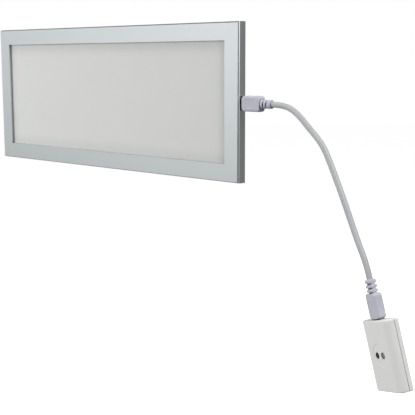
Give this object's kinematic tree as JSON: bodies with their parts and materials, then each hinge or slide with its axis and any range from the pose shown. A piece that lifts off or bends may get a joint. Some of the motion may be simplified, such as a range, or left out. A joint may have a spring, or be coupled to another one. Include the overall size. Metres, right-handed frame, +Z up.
{
  "type": "led panel light",
  "caption": "Slim edge-lit LED panel in an aluminium frame, with a short plug-in lead from its side socket to a small white hand-wave switch box.",
  "frame": {"origin": "centre of the panel's flat back, where it lies against what holds it up", "axes": "+Z up, +X to the panel's right seen from its lit front, +Y out of the back, so the light shines towards -Y"},
  "size_m": [0.3862, 0.0189, 0.2078],
  "materials": {
    "anodised_aluminium": "satin clear anodised, fine brushed",
    "cover_aluminium": "plain matt sheet",
    "opal_acrylic": "satin opal, unlit",
    "clear_acrylic": "polished edges, printed dots on the back",
    "white_film": "matt white",
    "grey_foam": "fine closed-cell foam",
    "white_board": "white solder mask",
    "green_board": "green solder mask",
    "led_package": "white package with yellow phosphor",
    "black_epoxy": "moulded epoxy",
    "nickel_plate": "nickel-plated sheet",
    "gilt_contact": "gold flash",
    "black_insulator": "moulded",
    "red_wire": "PVC",
    "black_wire": "PVC",
    "zinc_screw": "zinc-plated",
    "lilac_white_pvc": "matt moulded PVC, faintly lilac",
    "white_cord": "satin extruded PVC",
    "white_abs": "fine satin moulded ABS",
    "dark_ir_epoxy": "infrared-pass epoxy",
    "smoked_ir_epoxy": "smoke-grey clear epoxy"
  },
  "bodies": {
    "panel": {"frame_rail_top": "anodised_aluminium", "frame_rail_bottom": "anodised_aluminium", "frame_rail_left": "anodised_aluminium", "frame_rail_right": "anodised_aluminium", "back_cover": "cover_aluminium", "corner_blocks": "cover_aluminium", "diffuser_plate": "opal_acrylic", "light_guide_plate": "clear_acrylic", "reflector_sheet": "white_film", "foam_pad": "grey_foam", "led_board_top": "white_board", "led_board_bottom": "white_board", "led_chips_top": "led_package", "led_chips_bottom": "led_package", "cover_screws": "zinc_screw", "left_socket_board": "green_board", "right_socket_board": "green_board", "left_socket_board_parts": "black_epoxy", "right_socket_board_parts": "black_epoxy", "left_socket_shell": "nickel_plate", "right_socket_shell": "nickel_plate", "left_socket_tongue": "black_insulator", "right_socket_tongue": "black_insulator", "left_socket_contacts": "gilt_contact", "right_socket_contacts": "gilt_contact", "wires_positive": "red_wire", "wires_negative": "black_wire"},
    "lead": {"lead_cord": "white_cord", "panel_plug_overmould": "lilac_white_pvc", "panel_plug_shell": "nickel_plate", "panel_plug_insert": "black_insulator", "panel_plug_contacts": "gilt_contact", "switch_plug_overmould": "lilac_white_pvc", "switch_plug_shell": "nickel_plate", "switch_plug_insert": "black_insulator", "switch_plug_contacts": "gilt_contact"},
    "switch": {"switch_front_shell": "white_abs", "switch_back_shell": "white_abs", "switch_board": "green_board", "switch_controller_chip": "black_epoxy", "switch_board_parts": "black_epoxy", "switch_socket_shell": "nickel_plate", "switch_socket_tongue": "black_insulator", "switch_socket_contacts": "gilt_contact", "infrared_receiver": "dark_ir_epoxy", "infrared_emitter": "smoked_ir_epoxy"}
  },
  "joints": [
    {"name": "panel_plug_pull", "type": "slide", "parent": "panel", "child": "lead", "axis": [1, 0, 0], "range_m": [0, 0.012]},
    {"name": "switch_plug_pull", "type": "slide", "parent": "lead", "child": "switch", "axis": [0.2857, 0, -0.9583], "range_m": [0, 0.012]}
  ]
}
